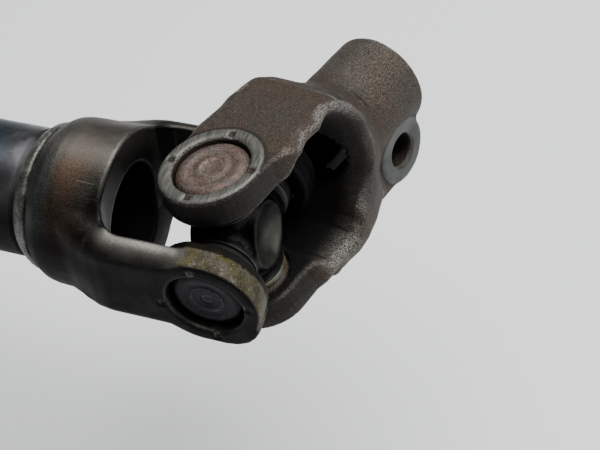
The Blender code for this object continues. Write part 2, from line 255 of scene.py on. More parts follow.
def fork_field(x, y, z):
    """The whole forging, X from the cross centre away from the tube, Y along its pin."""
    # The round body, as (x, radius).
    body = outline_distance([(-41.2, -1), (-41.2, 16.6), (-40.2, 17.6), (-38.4, 18.55),
                             (-36.5, 18.9), (-34, FORK_BODY_R), (-21.5, FORK_BODY_R),
                             (-19.5, 18.0), (-18.6, 16.0), (-18.6, -1)], x, np.hypot(y, z))
    # The two arms from above, as (x, y).
    plan = outline_distance(mirrored([(14, FORK_EAR_OUT), (-22, FORK_EAR_OUT), (-25.3, 20.3),
                                      (-28.6, 19.0), (-32.5, 16.0)]), x, y)
    # The arms from the side, as (x, z): the near ear has a squarer lower corner.
    arm_start = [(-34, -FORK_EAR_R), (-34, FORK_EAR_R)]
    round_ear = outline_distance(arc(0, 0, FORK_EAR_R, 90, -90, 24) + arm_start, x, z)
    square_ear = outline_distance(arc(0, 0, FORK_EAR_R, 90, -20, 18)
                                  + [(11.3, -5.6), (10.4, -7.8), (8.9, -9.7), (6.6, -11.1),
                                     (3.8, -FORK_EAR_R)] + arm_start, x, z)
    side = np.where(y < 0, square_ear, round_ear)
    shoulder = 0.7 + 3.6 * smooth_step(-x, 1.0, 9.0)
    arms = round_common(plan, side, shoulder)
    fork = round_join(body, arms, 2.2)
    # The saddle between the arms, as (x, y).  Its lower lip reaches further forward.
    corner_x = SADDLE_X + SADDLE_CORNER_R
    corner_y = FORK_ARM_IN - SADDLE_CORNER_R
    lip = x - 2.2 * smooth_step(-z, 3.0, 14.0)
    saddle = outline_distance([(30, FORK_ARM_IN)]
                              + arc(corner_x, corner_y, SADDLE_CORNER_R, 90, 180, 8)
                              + arc(corner_x, -corner_y, SADDLE_CORNER_R, 180, 270, 8)
                              + [(30, -FORK_ARM_IN)], lip, y)
    fork = round_cut(fork, saddle, 0.55)
    # A thicker boss on the inside of each ear, and the bores.
    pin = np.hypot(x, z)
    height = np.abs(y)
    boss = round_common(np.maximum(pin - 12.4, side), np.abs(height - 17.2) - 3.3, 0.6)
    fork = round_join(fork, boss, 0.5)
    throat = np.maximum(np.hypot(y, z) - FORK_BORE_R, x + 10)
    fork = round_cut(fork, throat, 0.4)
    bore = pin - EAR_BORE_R - np.clip(height - FORK_EAR_OUT + EAR_CHAMFER, 0, 2)
    fork = round_cut(fork, bore, 0.25)
    fork = np.maximum(fork, -stakes(x, z, height, FORK_EAR_OUT, STAKE_ANGLES))
    return fork + 0.05 * ripple(x, y, z, 9, 3)


def sawn_end(x, y, z):
    """The near ear's round end, left rough from the saw."""
    outside = smooth_step(np.hypot(x, z), FORK_EAR_R - 1.0, FORK_EAR_R - 0.5)
    outside = outside * (0.4 + 0.6 * smooth_step(z, -11.0, -6.0))
    return outside * smooth_step(x, -6.0, -3.5) * ((y < -FORK_EAR_IN) & (y > 0.3 - FORK_EAR_OUT))


def milled_wall(x, y, z):
    """The saddle's cut faces."""
    bottom = np.abs(x - SADDLE_X) < 0.4
    sides = (x > SADDLE_X) & (x < -8) & (np.abs(y) < FORK_ARM_IN + 0.3)
    return (bottom | sides) * (np.hypot(y, z) > FORK_BORE_R + 0.2) * 1.0


def fork_painted_shade(x, y, z):
    """Painted shade, near black, on the outer faces and the underside, in the bores and over the far ear."""
    face = smooth_step(np.abs(y), FORK_EAR_OUT - 0.35, FORK_EAR_OUT - 0.1)
    inner = (np.abs(y) < FORK_ARM_IN - 0.2) & (x > SADDLE_X + 1)
    bore = np.hypot(y, z) < FORK_BORE_R + 0.3
    far = (y > FORK_EAR_IN - 0.2) & (x > -8) & (y < FORK_EAR_OUT - 0.2)
    # Painted shade under the forging, darker towards the bottom and the near side.
    painted_under_shade = smooth_step(-z - 0.7 * y, -2.0, 8.0) * smooth_step(-x, 14.0, 22.0) * 0.9
    return np.maximum(np.maximum(face, painted_under_shade), (inner | bore | far) * 1.0)


def fork_painted_highlight(x, y, z):
    """Painted highlight on the near arm's shoulder and the body's crown, where the overhead lamp shines."""
    crest = smooth_step(z - 0.5 * np.maximum(-y - 17.0, 0), 7.0, 9.5)
    near = crest * smooth_step(-y, 15.0, 17.0)
    near = near * smooth_step(x, -24.0, -19.0) * smooth_step(-x, 2.0, 7.0)
    crown = 0.6 * smooth_step(z + 0.6 * y, 13.0, 19.0) * smooth_step(-x, 22.0, 25.0)
    return np.maximum(near, crown)


FORK_LOW = (-43.0, -22.6, -20.6)
FORK_HIGH = (13.4, 22.6, 20.6)
FORK_ZONES = {"sawn": sawn_end, "milled": milled_wall, "painted_shade": fork_painted_shade, "painted_highlight": fork_painted_highlight}
fork = solid("fork_forging", fork_field(*grid(FORK_LOW, FORK_HIGH, STEP)), FORK_LOW, STEP,
             FORK_PLACE, FORK_ZONES)
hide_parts("tube_fork")
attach(fork, "fork_tube")


def add(tree, kind, values=None, **settings):
    """Node with its settings, its sockets set to values or linked to other sockets."""
    made = tree.nodes.new(kind)
    for name, value in settings.items():
        setattr(made, name, value)
    for name, value in (values or {}).items():
        if isinstance(value, bpy.types.NodeSocket):
            tree.links.new(value, made.inputs[name])
        else:
            made.inputs[name].default_value = value
    return made


def maths(tree, operation, a, b=0.0):
    """One sum on two values."""
    return add(tree, "ShaderNodeMath", {0: a, 1: b}, operation=operation).outputs[0]


def between(tree, value, low, high, start=0.0, stop=1.0):
    """Value brought smoothly from low..high to start..stop."""
    made = add(tree, "ShaderNodeMapRange", {"Value": value, "From Min": low, "From Max": high,
               "To Min": start, "To Max": stop}, interpolation_type="SMOOTHSTEP")
    return made.outputs["Result"]


def blend(tree, share, a, b, way="MIX"):
    """Colours a and b mixed, share of b."""
    as_colour = [(*value, 1) if isinstance(value, tuple) else value for value in (a, b)]
    made = add(tree, "ShaderNodeMix", {0: share, 6: as_colour[0], 7: as_colour[1]},
               data_type="RGBA", blend_type=way)
    return made.outputs[2]


def object_place(tree, size=(1, 1, 1), turn=(0, 0, 0)):
    """Object coordinates, stretched so that one unit is this many millimetres each way."""
    here = add(tree, "ShaderNodeTexCoord").outputs["Object"]
    return add(tree, "ShaderNodeMapping", {"Vector": here, "Rotation": turn,
               "Scale": [1 / (side * MM) for side in size]}).outputs["Vector"]


def noise(tree, where, scale=1.0, detail=3.0, roughness=0.55, seed=0.0):
    """Cloudy pattern from 0 to 1, with this many lumps to one unit of where."""
    made = add(tree, "ShaderNodeTexNoise", {"Vector": where, "W": seed, "Scale": scale,
               "Detail": detail, "Roughness": roughness}, noise_dimensions="4D")
    return made.outputs["Fac"]


def new_group(name, inputs, outputs):
    """Empty shader group with these number sockets: its tree, its input and its output."""
    tree = bpy.data.node_groups.new(name, "ShaderNodeTree")
    for label, value in inputs:
        socket = tree.interface.new_socket(label, in_out="INPUT", socket_type="NodeSocketFloat")
        socket.default_value = value
    for label in outputs:
        tree.interface.new_socket(label, in_out="OUTPUT", socket_type="NodeSocketFloat")
    return tree, tree.nodes.new("NodeGroupInput"), tree.nodes.new("NodeGroupOutput")


def skin_group():
    """Broad patches, fine grain, bright specks and dark pits of a metal skin."""
    tree, given, result = new_group("metal_skin", [("Patch Size", 8.0), ("Grain Size", 0.45),
                                    ("Seed", 0.0)], ["Patch", "Grain", "Speck", "Pit"])
    here = object_place(tree)
    broad = maths(tree, "DIVIDE", 1.0, given.outputs["Patch Size"])
    fine = maths(tree, "DIVIDE", 1.0, given.outputs["Grain Size"])
    seed = given.outputs["Seed"]
    patch = between(tree, noise(tree, here, broad, 4, 0.6, seed), 0.36, 0.64)
    grain = noise(tree, here, fine, 2, 0.7, seed)
    speck = between(tree, noise(tree, here, maths(tree, "MULTIPLY", fine, 1.3), 1, 0.5,
                                maths(tree, "ADD", seed, 5.0)), 0.60, 0.72)
    pit = between(tree, noise(tree, here, maths(tree, "MULTIPLY", fine, 0.45), 2, 0.5,
                              maths(tree, "ADD", seed, 9.0)), 0.66, 0.76)
    for label, socket in (("Patch", patch), ("Grain", grain), ("Speck", speck), ("Pit", pit)):
        tree.links.new(socket, result.inputs[label])
    return tree


def wear_group():
    """Where a surface bends out enough to wear bright, and where it bends in and holds dirt."""
    tree, given, result = new_group("edge_wear", [("From", 0.25), ("To", 0.9), ("Seed", 0.0)],
                                    ["Edge", "Hollow"])
    bend = add(tree, "ShaderNodeAttribute", attribute_name="bend").outputs["Fac"]
    rough = noise(tree, object_place(tree), 1 / 1.6, 4, 0.65, given.outputs["Seed"])
    swing = maths(tree, "MULTIPLY", maths(tree, "SUBTRACT", rough, 0.5), 0.7)
    uneven = maths(tree, "ADD", bend, swing)
    edge = between(tree, uneven, given.outputs["From"], given.outputs["To"])
    hollow = between(tree, maths(tree, "MULTIPLY", uneven, -1.0), 0.05, 0.6)
    tree.links.new(edge, result.inputs["Edge"])
    tree.links.new(hollow, result.inputs["Hollow"])
    return tree


def scratch_group():
    """Sparse hair scratches that run two ways, and a brushed lay along Y."""
    tree, given, result = new_group("scratches", [("Amount", 1.0)], ["Scratch", "Brush"])
    lines = []
    for turn, seed in (((0.3, 0.2, 0.5), 2.0), ((1.1, 0.6, 2.1), 7.0)):
        strand = noise(tree, object_place(tree, (5, 0.22, 0.22), turn), 1, 1, 0.5, seed)
        lines.append(between(tree, strand, 0.66, 0.74))
    gate = between(tree, noise(tree, object_place(tree), 1 / 6, 2, 0.5, 4.0), 0.44, 0.58)
    scratch = maths(tree, "MULTIPLY", maths(tree, "MAXIMUM", *lines), gate)
    tree.links.new(maths(tree, "MULTIPLY", scratch, given.outputs["Amount"]), result.inputs["Scratch"])
    brush = noise(tree, object_place(tree, (0.25, 3.5, 1.5), (0, 0, 0.25)), 1, 3, 0.6, 3.0)
    tree.links.new(brush, result.inputs["Brush"])
    return tree


SKIN = skin_group()
WEAR = wear_group()
SCRATCHES = scratch_group()


def use(tree, group, **values):
    """Group node with its inputs set, named with underscores for spaces."""
    made = tree.nodes.new("ShaderNodeGroup")
    made.node_tree = group
    for name, value in values.items():
        made.inputs[name.replace("_", " ")].default_value = value
    return made.outputs


def finish_material(name, metallic, roughness):
    """The material of this name, its tree and its shader, with these two set on the shader."""
    made = bpy.data.materials.get(name) or bpy.data.materials.new(name)
    made.use_nodes = True
    shader = made.node_tree.nodes["Principled BSDF"]
    shader.inputs["Metallic"].default_value = metallic
    shader.inputs["Roughness"].default_value = roughness
    return made, made.node_tree, shader


def roughen(tree, shader, colour, rough, height, depth_mm):
    """Joins colour, roughness and a bump of this depth to the shader."""
    tree.links.new(colour, shader.inputs["Base Color"])
    tree.links.new(rough, shader.inputs["Roughness"])
    bump = add(tree, "ShaderNodeBump", {"Height": height, "Distance": depth_mm * MM, "Strength": 1.0})
    tree.links.new(bump.outputs["Normal"], shader.inputs["Normal"])


def zone(tree, name):
    """The mask that a piece's mesh holds under this name."""
    return add(tree, "ShaderNodeAttribute", attribute_name=name).outputs["Fac"]


def tint(tree, colour, mask, share, tone):
    """Colour brought towards this tone by a share of the mask."""
    return blend(tree, maths(tree, "MULTIPLY", mask, share), colour, tone)


def mottle(tree, colour, mask, dark, light):
    """Colour times dark where the mask is 0, and times light where it is 1."""
    darker = blend(tree, 1.0, colour, dark, "MULTIPLY")
    lighter = blend(tree, 1.0, colour, light, "MULTIPLY")
    return blend(tree, mask, darker, lighter)


def finish(piece, material):
    """Gives a piece its one material."""
    piece.data.materials.clear()
    piece.data.materials.append(material)


SCALE_DARK = (0.014, 0.012, 0.0105)
SCALE_LIGHT = (0.028, 0.0265, 0.023)
HEAT_BROWN = (0.052, 0.034, 0.024)
HEAT_BLUE = (0.065, 0.073, 0.075)
FORK_EDGE = (0.085, 0.082, 0.075)
FORK_DIRT = (0.008, 0.007, 0.006)
SAWN_DARK = (0.040, 0.035, 0.018)
SAWN_LIGHT = (0.085, 0.075, 0.056)
SAWN_FLAKE = (0.16, 0.15, 0.12)
SAWN_STAIN = (0.075, 0.068, 0.012)
SAWN_SPECK = (0.24, 0.225, 0.19)
SAWN_PIT = (0.008, 0.008, 0.005)
MILLED_DARK = (0.011, 0.011, 0.0095)
MILLED_LIGHT = (0.024, 0.024, 0.020)
FORK_SCRATCH = (0.10, 0.092, 0.082)
FORK_HIGHLIGHT = (0.140, 0.132, 0.118)
FORK_SHADE = (0.0025, 0.0014, 0.0025)


def forged_steel():
    """Forged steel: nearly black faces from painted shade, a warm heat tint on the body, a sandy sawn ear, a
    painted highlight on the near arm.
    """
    made, tree, shader = finish_material("forged_skin", 0.85, 0.4)
    shader.inputs["Specular IOR Level"].default_value = 0.4
    skin_out = use(tree, SKIN, Patch_Size=7.0, Grain_Size=0.35, Seed=12.0)
    wear = use(tree, WEAR, From=0.15, To=0.7, Seed=4.0)
    here = add(tree, "ShaderNodeSeparateXYZ", {0: object_place(tree)}).outputs
    drift = noise(tree, object_place(tree), 1 / 12, 3, 0.6, 2.0)
    drift = maths(tree, "MULTIPLY", maths(tree, "SUBTRACT", drift, 0.5), 10.0)
    along = maths(tree, "ADD", here["X"], drift)
    colour = blend(tree, skin_out["Patch"], SCALE_DARK, SCALE_LIGHT)
    centre_x = joint_centre.x / MM
    warm = maths(tree, "MULTIPLY", between(tree, along, centre_x - 41, centre_x - 35),
                 between(tree, along, centre_x - 24, centre_x - 31))
    cloud = noise(tree, object_place(tree), 1 / 9, 4, 0.6, 8.0)
    warm = maths(tree, "MULTIPLY", warm, between(tree, cloud, 0.36, 0.60))
    colour = blend(tree, warm, colour, HEAT_BROWN)
    blue = between(tree, along, centre_x - 34, centre_x - 39)
    colour = tint(tree, colour, blue, 0.7, HEAT_BLUE)
    colour = tint(tree, colour, wear["Edge"], 0.5, FORK_EDGE)
    colour = tint(tree, colour, wear["Hollow"], 0.5, FORK_DIRT)
    fine = use(tree, SKIN, Patch_Size=2.2, Grain_Size=0.3, Seed=3.0)
    colour = mottle(tree, colour, between(tree, fine["Grain"], 0.34, 0.66),
                    (0.55, 0.55, 0.55), (1.5, 1.48, 1.42))
    sand = blend(tree, fine["Patch"], SAWN_DARK, SAWN_LIGHT)
    flake = between(tree, noise(tree, object_place(tree), 1 / 1.3, 3, 0.7, 15.0), 0.56, 0.62)
    sand = tint(tree, sand, flake, 0.6, SAWN_FLAKE)
    stain = between(tree, noise(tree, object_place(tree), 1 / 3.2, 3, 0.6, 19.0), 0.54, 0.62)
    sand = tint(tree, sand, stain, 0.6, SAWN_STAIN)
    sand = tint(tree, sand, fine["Speck"], 0.7, SAWN_SPECK)
    sand = tint(tree, sand, fine["Pit"], 0.9, SAWN_PIT)
    colour = blend(tree, zone(tree, "sawn"), colour, sand)
    milled = blend(tree, skin_out["Patch"], MILLED_DARK, MILLED_LIGHT)
    colour = blend(tree, zone(tree, "milled"), colour, milled)
    lines = use(tree, SCRATCHES, Amount=1.0)
    colour = blend(tree, lines["Scratch"], colour, FORK_SCRATCH)
    # Painted highlight on the shoulder and the crown, broken up by the grain.
    broken = between(tree, skin_out["Grain"], 0.3, 0.6, 0.6, 1.0)
    highlight_share = maths(tree, "MULTIPLY", zone(tree, "painted_highlight"), broken)
    colour = blend(tree, highlight_share, colour, FORK_HIGHLIGHT)
    # Painted shade: the shade mask takes the colour towards near black.
    shade_share = maths(tree, "MULTIPLY", zone(tree, "painted_shade"), 0.9)
    colour = blend(tree, shade_share, colour, FORK_SHADE)
    coarse = maths(tree, "MAXIMUM", zone(tree, "sawn"), zone(tree, "painted_shade"))
    rough = maths(tree, "ADD", between(tree, skin_out["Patch"], 0, 1, 0.40, 0.50),
                  maths(tree, "MULTIPLY", coarse, 0.22))
    relief = maths(tree, "MULTIPLY", fine["Grain"],
                   between(tree, zone(tree, "sawn"), 0, 1, 0.35, 2.4))
    roughen(tree, shader, colour, rough, relief, 0.10)
    return made


finish(fork, forged_steel())


# Clamp yoke -----------------------------------------------------------------------
# A steel casting left with its rough skin, which a pinch bolt clamps on a serrated
# shaft.  Only the ring on each ear, the cup bores, the bolt faces, the bolt hole, the
# slot and the serrated bore are machined.
YOKE_EAR_OUT = 19.2
YOKE_EAR_IN = 12.8
YOKE_RING_OUT = 19.8
YOKE_RING_R = 11.05
HUB_R = 12.3
HUB_START = 31.7
HUB_END = 56.3
HUB_BORE_R = 8.5
HUB_TEETH = 30
HUB_TOOTH = 0.22
BOLT_X = 46.1
BOLT_Z = -11.06
BOLT_R = 4.3
LUG_R = 8.6
LUG_OUT = 10.5
PAD_R = 8.3
PAD_OUT = 11.06
SLOT_WIDTH = 3.0
THROAT_WALL = 14.6
THROAT_END = 27.6
THROAT_CORNER_R = 9.0

mounts = {mount["name"]: mount for mount in frame["record"]["mounts"]}
yoke_pin = Vector(joints["yoke_pivot"]["axis"]).normalized()
hub_way = Vector(mounts["hub_face"]["axis"]).normalized()
YOKE_PLACE = place(hub_way, yoke_pin)


def yoke_field(x, y, z):
    """The whole casting, X from the cross centre towards the hub, Z along its own pin."""
    # The casting from the side, as (x, z).
    side = outline_distance([(-14, YOKE_EAR_OUT), (24, YOKE_EAR_OUT), (28.5, 18.4), (31.5, 16.6),
                             (34.5, 13.8), (39, 11), (39, -18.4), (34, -19.9), (28, -21.0),
                             (21, -21.7), (15, -21.8), (12.2, -21.3), (11.4, -20.4),
                             (11.2, -YOKE_EAR_OUT), (-14, -YOKE_EAR_OUT)], x, z)
    # The arms from above, as (x, y).  The lower ear is a little wider than the upper.
    stout = 1 + 0.1 * smooth_step(-z, 13.5, 17.0) * smooth_step(-x, -15.0, -10.0)
    plan = outline_distance(arc(0, 0, 11.5, 90, 270, 24)
                            + [(6, -11.4), (11, -12.9), (15, -14.4), (20, -15.2),
                               (24, -15.0), (29, -13.9), (34.5, -12.2), (38.6, -10.6),
                               (38.6, 10.6), (34.5, 12.6), (30, 14.3), (25, 15.2), (20, 15.2),
                               (15, 14.4), (11, 12.9), (6, 11.4)], x, y / stout)
    edge = 0.5 + 4.6 * smooth_step(x, 7.0, 17.0)
    yoke = round_common(side, plan, edge)
    # The hub, the two lugs as one block, the bolt faces and the ring round each cup.
    hub_middle = (HUB_START + HUB_END) / 2
    hub_length = np.abs(x - hub_middle) - (HUB_END - HUB_START) / 2
    hub = round_common(np.hypot(y, z) - HUB_R, hub_length, 0.9)
    yoke = round_join(yoke, hub, 2.6)
    lug = outline_distance(arc(BOLT_X, BOLT_Z, LUG_R, -90, 20, 9)
                           + [(55.6, -1.5), (54, 0), (36, 0), (36, BOLT_Z - LUG_R)], x, z)
    lug = round_common(lug, np.abs(y) - LUG_OUT, 1.6)
    yoke = round_join(yoke, lug, 1.5)
    bolt = np.hypot(x - BOLT_X, z - BOLT_Z)
    pads = round_common(bolt - PAD_R, np.abs(y) - PAD_OUT, 0.4)
    yoke = round_join(yoke, pads, 0.8)
    ring = round_common(np.hypot(x, y) - YOKE_RING_R, np.abs(z) - YOKE_RING_OUT, 0.25)
    yoke = round_join(yoke, ring, 0.5)
    # The throat between the ears, as (x, z), flared at its mouth.
    corner_x = THROAT_END - THROAT_CORNER_R
    corner_z = THROAT_WALL - THROAT_CORNER_R
    gap = outline_distance([(-20, YOKE_EAR_IN), (8.5, YOKE_EAR_IN), (11.5, THROAT_WALL)]
                           + arc(corner_x, corner_z, THROAT_CORNER_R, 90, 0, 8)
                           + [(27.5, 1), (27.0, -2), (25.9, -5.8), (24.4, -9), (22.6, -11.8),
                              (20, -13.9), (16, -14.9), (11.5, -15.0), (8.5, -YOKE_EAR_IN),
                              (-20, -YOKE_EAR_IN)], x, z)
    arm_flare = np.maximum(smooth_step(z, -11, -2), smooth_step(y, -2, 4))
    flare = 0.3 * smooth_step(x, 9, 16) * arm_flare
    flare = flare + 0.35 * smooth_step(x, 19, 25) * smooth_step(z, -10, -3)
    flare = flare * np.maximum(np.abs(y) - 5.5, 0)
    yoke = round_cut(yoke, gap - flare, 1.1 + 1.2 * smooth_step(x, 8, 16))
    # The serrated bore with its plain lead-in, and the slot that lets the hub close.
    turn = np.arctan2(z, y)
    teeth = HUB_TOOTH * np.cos(HUB_TEETH * turn)
    bore = np.maximum(np.hypot(y, z) - HUB_BORE_R - teeth, 20 - x)
    lead_in = np.hypot(y, z) - HUB_BORE_R - 0.5 - np.clip(x - HUB_END + 0.6, 0, 2)
    bore = np.minimum(bore, np.maximum(lead_in, HUB_END - 0.6 - x))
    yoke = round_cut(yoke, bore, 0.3)
    slot = np.maximum(np.maximum(np.abs(y) - SLOT_WIDTH / 2, z), 32 - x)
    yoke = round_cut(yoke, slot, 0.3)
    # The bolt hole and the cup bores, with their chamfers and the stakes.
    hole = bolt - BOLT_R - np.clip(np.abs(y) - PAD_OUT + 0.35, 0, 1)
    yoke = round_cut(yoke, hole, 0.25)
    cup_chamfer = np.clip(np.abs(z) - YOKE_RING_OUT + EAR_CHAMFER, 0, 2)
    yoke = round_cut(yoke, np.hypot(x, y) - EAR_BORE_R - cup_chamfer, 0.25)
    yoke = np.maximum(yoke, -stakes(x, y, np.abs(z), YOKE_RING_OUT, STAKE_ANGLES))
    as_cast = np.minimum(np.abs(np.abs(z) - YOKE_RING_OUT), np.abs(bolt - 4)) > 1.0
    by_the_pin = np.where(np.hypot(x, y) < 11.4, 0.2, 1)
    return yoke + 0.06 * ripple(x, y, z, 6, 8) * by_the_pin * as_cast


def ground_ring(x, y, z):
    """The flat ring ground round each cup."""
    outer = smooth_step(np.abs(z), YOKE_RING_OUT - 0.35, YOKE_RING_OUT - 0.15)
    return outer * (np.hypot(x, y) < YOKE_RING_R + 0.15)


def bolt_face(x, y, z):
    """The two faces that the pinch bolt pulls together."""
    near = np.hypot(x - BOLT_X, z - BOLT_Z) < PAD_R
    return near * smooth_step(np.abs(y), 10.6, 10.85)


def yoke_painted_shade(x, y, z):
    """Painted shade, near black, inside the throat, on the ears' walls, in the bores and the toothed hub."""
    throat = smooth_step(-np.abs(z), -19.0, -15.0) * smooth_step(-x, -33.0, -29.5)
    depth = smooth_step(-np.abs(y), -14.0, -6.5)
    ear_wall = (np.abs(z) < YOKE_RING_OUT - 0.4) & (np.hypot(x, y) > 10.6) & (x < 9)
    web = 0.62 * smooth_step(x, 24.0, 27.5) * smooth_step(-x, -34.0, -32.0)
    web = web * smooth_step(-np.abs(z), -14.0, -9.0)
    shade = 0.72 * ear_wall * smooth_step(-x, -11.0, -3.0)
    ears = smooth_step(-np.abs(z), -13.8, -13.0) * smooth_step(-x, -15.0, -11.0)
    ears = ears * smooth_step(-np.abs(y), -12.5, -9.5)
    dark = np.maximum(ears, (np.hypot(y, z) < 9.4) * 1.0)
    return np.maximum(np.maximum(np.maximum(throat * depth, web), shade), dark)


def yoke_salt(x, y, z):
    """Where the casting's skin is peppered with bright specks."""
    hub = smooth_step(x, 38.0, 44.0) * smooth_step(z - 0.5 * y, 4.0, 11.0)
    arm = smooth_step(x, 8.0, 12.0) * smooth_step(-x, -24.0, -17.0) * smooth_step(-y, 5.0, 10.0)
    return np.maximum(0.17 * hub, arm * smooth_step(-z, 8.0, 11.5) * smooth_step(z, -20.0, -16.0))


YOKE_LOW = (-13.0, -17.2, -23.2)
YOKE_HIGH = (58.0, 17.2, 21.4)
YOKE_ZONES = {"ground": ground_ring, "pad": bolt_face, "painted_shade": yoke_painted_shade, "salt": yoke_salt}
yoke = solid("yoke_casting", yoke_field(*grid(YOKE_LOW, YOKE_HIGH, STEP)), YOKE_LOW, STEP,
             YOKE_PLACE, YOKE_ZONES)
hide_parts("clamp_yoke")
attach(yoke, "clamp_yoke")


CAST_BROWN = (0.040, 0.027, 0.019)
CAST_GREY = (0.034, 0.028, 0.023)
CAST_SPECK = (0.28, 0.26, 0.23)
CAST_SALT = (0.30, 0.29, 0.26)
CAST_DIRT = (0.010, 0.009, 0.008)
CAST_EDGE = (0.30, 0.29, 0.27)
CAST_PIT = (0.008, 0.007, 0.006)
GROUND_DARK = (0.045, 0.044, 0.038)
GROUND_LIGHT = (0.135, 0.135, 0.122)
GROUND_PIT = (0.03, 0.026, 0.022)
PAD_DARK = (0.030, 0.033, 0.029)
PAD_LIGHT = (0.052, 0.054, 0.049)
YOKE_SHADE = (0.0015, 0.0022, 0.0021)


def cast_steel():
    """Grey-brown cast skin, specked bright on its ridges, with ground rings, bolt faces and painted shade in the
    throat.
    """
    made, tree, shader = finish_material("cast_skin", 0.5, 0.6)
    shader.inputs["Specular IOR Level"].default_value = 0.35
    skin_out = use(tree, SKIN, Patch_Size=9.0, Grain_Size=0.42, Seed=1.0)
    fine = use(tree, SKIN, Patch_Size=2.2, Grain_Size=0.22, Seed=6.0)
    wear = use(tree, WEAR, From=0.26, To=0.75, Seed=2.0)
    colour = blend(tree, skin_out["Patch"], CAST_BROWN, CAST_GREY)
    colour = mottle(tree, colour, between(tree, fine["Grain"], 0.32, 0.68),
                    (0.30, 0.30, 0.30), (1.9, 1.88, 1.85))
    speckled = maths(tree, "MULTIPLY", fine["Speck"], between(tree, skin_out["Grain"], 0.42, 0.62))
    colour = tint(tree, colour, speckled, 0.7, CAST_SPECK)
    salted = maths(tree, "MULTIPLY", zone(tree, "salt"), between(tree, fine["Grain"], 0.46, 0.60))
    colour = tint(tree, colour, salted, 0.75, CAST_SALT)
    colour = tint(tree, colour, wear["Hollow"], 0.7, CAST_DIRT)
    worn = maths(tree, "MULTIPLY", wear["Edge"], between(tree, fine["Grain"], 0.42, 0.60))
    worn = maths(tree, "MULTIPLY", worn, between(tree, skin_out["Patch"], 0, 1, 0.45, 1.0))
    colour = tint(tree, colour, worn, 0.7, CAST_EDGE)
    colour = tint(tree, colour, skin_out["Pit"], 0.8, CAST_PIT)
    ground = zone(tree, "ground")
    brushed = use(tree, SCRATCHES)
    bright = blend(tree, between(tree, brushed["Brush"], 0.3, 0.7), GROUND_DARK, GROUND_LIGHT)
    bright = tint(tree, bright, fine["Pit"], 0.7, GROUND_PIT)
    colour = blend(tree, ground, colour, bright)
    pad = zone(tree, "pad")
    faced = blend(tree, fine["Patch"], PAD_DARK, PAD_LIGHT)
    colour = blend(tree, pad, colour, faced)
    # Painted shade: the shade mask takes the colour towards near black.
    shade_share = maths(tree, "MULTIPLY", zone(tree, "painted_shade"), 0.96)
    colour = blend(tree, shade_share, colour, YOKE_SHADE)
    machined = maths(tree, "MAXIMUM", ground, pad)
    rough = between(tree, machined, 0, 1, 0.62, 0.45)
    relief = maths(tree, "ADD", fine["Grain"], maths(tree, "MULTIPLY", skin_out["Grain"], 1.2))
    relief = maths(tree, "SUBTRACT", relief, skin_out["Pit"])
    calm = maths(tree, "MULTIPLY", relief, between(tree, machined, 0, 1, 1.0, 0.12))
    lay = maths(tree, "MULTIPLY", maths(tree, "MULTIPLY", brushed["Brush"], ground), 0.5)
    roughen(tree, shader, colour, rough, maths(tree, "ADD", calm, lay), 0.13)
    return made


finish(yoke, cast_steel())


# Cross ------------------------------------------------------------------------------
# A hardened steel forging: four ground trunnions on a round boss whose ends are dished.
# Each trunnion runs in the needles of one cup, and nothing else holds the cross.
TRUNNION_R = 4.8
TRUNNION_END = 16.9
ROOT_R = 7.0
ROOT_END = 9.2
BOSS_R = 7.6
DISH_R = 11.2
DISH_CENTRE = 16.6
CROSS_PLACE = place(Y_WAY.cross(yoke_pin), yoke_pin)


def cross_field(x, y, z):
    """The whole cross, Y along the fork's pin and Z along the yoke's."""
    boss = round_common(np.hypot(y, z) - BOSS_R, np.abs(x) - BOSS_R, 0.5)
    root_y = round_common(np.hypot(x, z) - ROOT_R, np.abs(y) - ROOT_END, 0.5)
    root_z = round_common(np.hypot(x, y) - ROOT_R, np.abs(z) - ROOT_END, 0.5)
    cross = round_join(boss, round_join(root_y, root_z, 2), 1.2)
    dish = np.sqrt(y * y + z * z + (np.abs(x) - DISH_CENTRE) ** 2) - DISH_R
    cross = round_cut(cross, dish, 0.5)
    for across, along in ((np.hypot(x, z), y), (np.hypot(x, y), z)):
        pin = round_common(across - TRUNNION_R, np.abs(along) - TRUNNION_END, 0.5)
        cross = round_join(cross, pin, 0.4)
    return cross + 0.03 * ripple(x, y, z, 4, 5)


def cross_dish_highlight(x, y, z):
    """Painted highlight: the lower half of the hollow in each end of the boss, lighter where it would reflect the
    overhead lamp.
    """
    hollow = smooth_step(-np.hypot(y, z), -7.2, -6.2) * smooth_step(np.abs(x), 4.0, 5.0)
    return hollow * smooth_step(-z, -1.5, 3.0)


CROSS_LOW = (-8.6, -18.0, -18.0)
CROSS_HIGH = (8.6, 18.0, 18.0)
CROSS_STEP = STEP * 0.75
cross = solid("cross_forging", cross_field(*grid(CROSS_LOW, CROSS_HIGH, CROSS_STEP)), CROSS_LOW,
              CROSS_STEP, CROSS_PLACE, {"dish": cross_dish_highlight})
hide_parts("cross")
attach(cross, "cross")


DISH_HIGHLIGHT = (0.055, 0.055, 0.048)


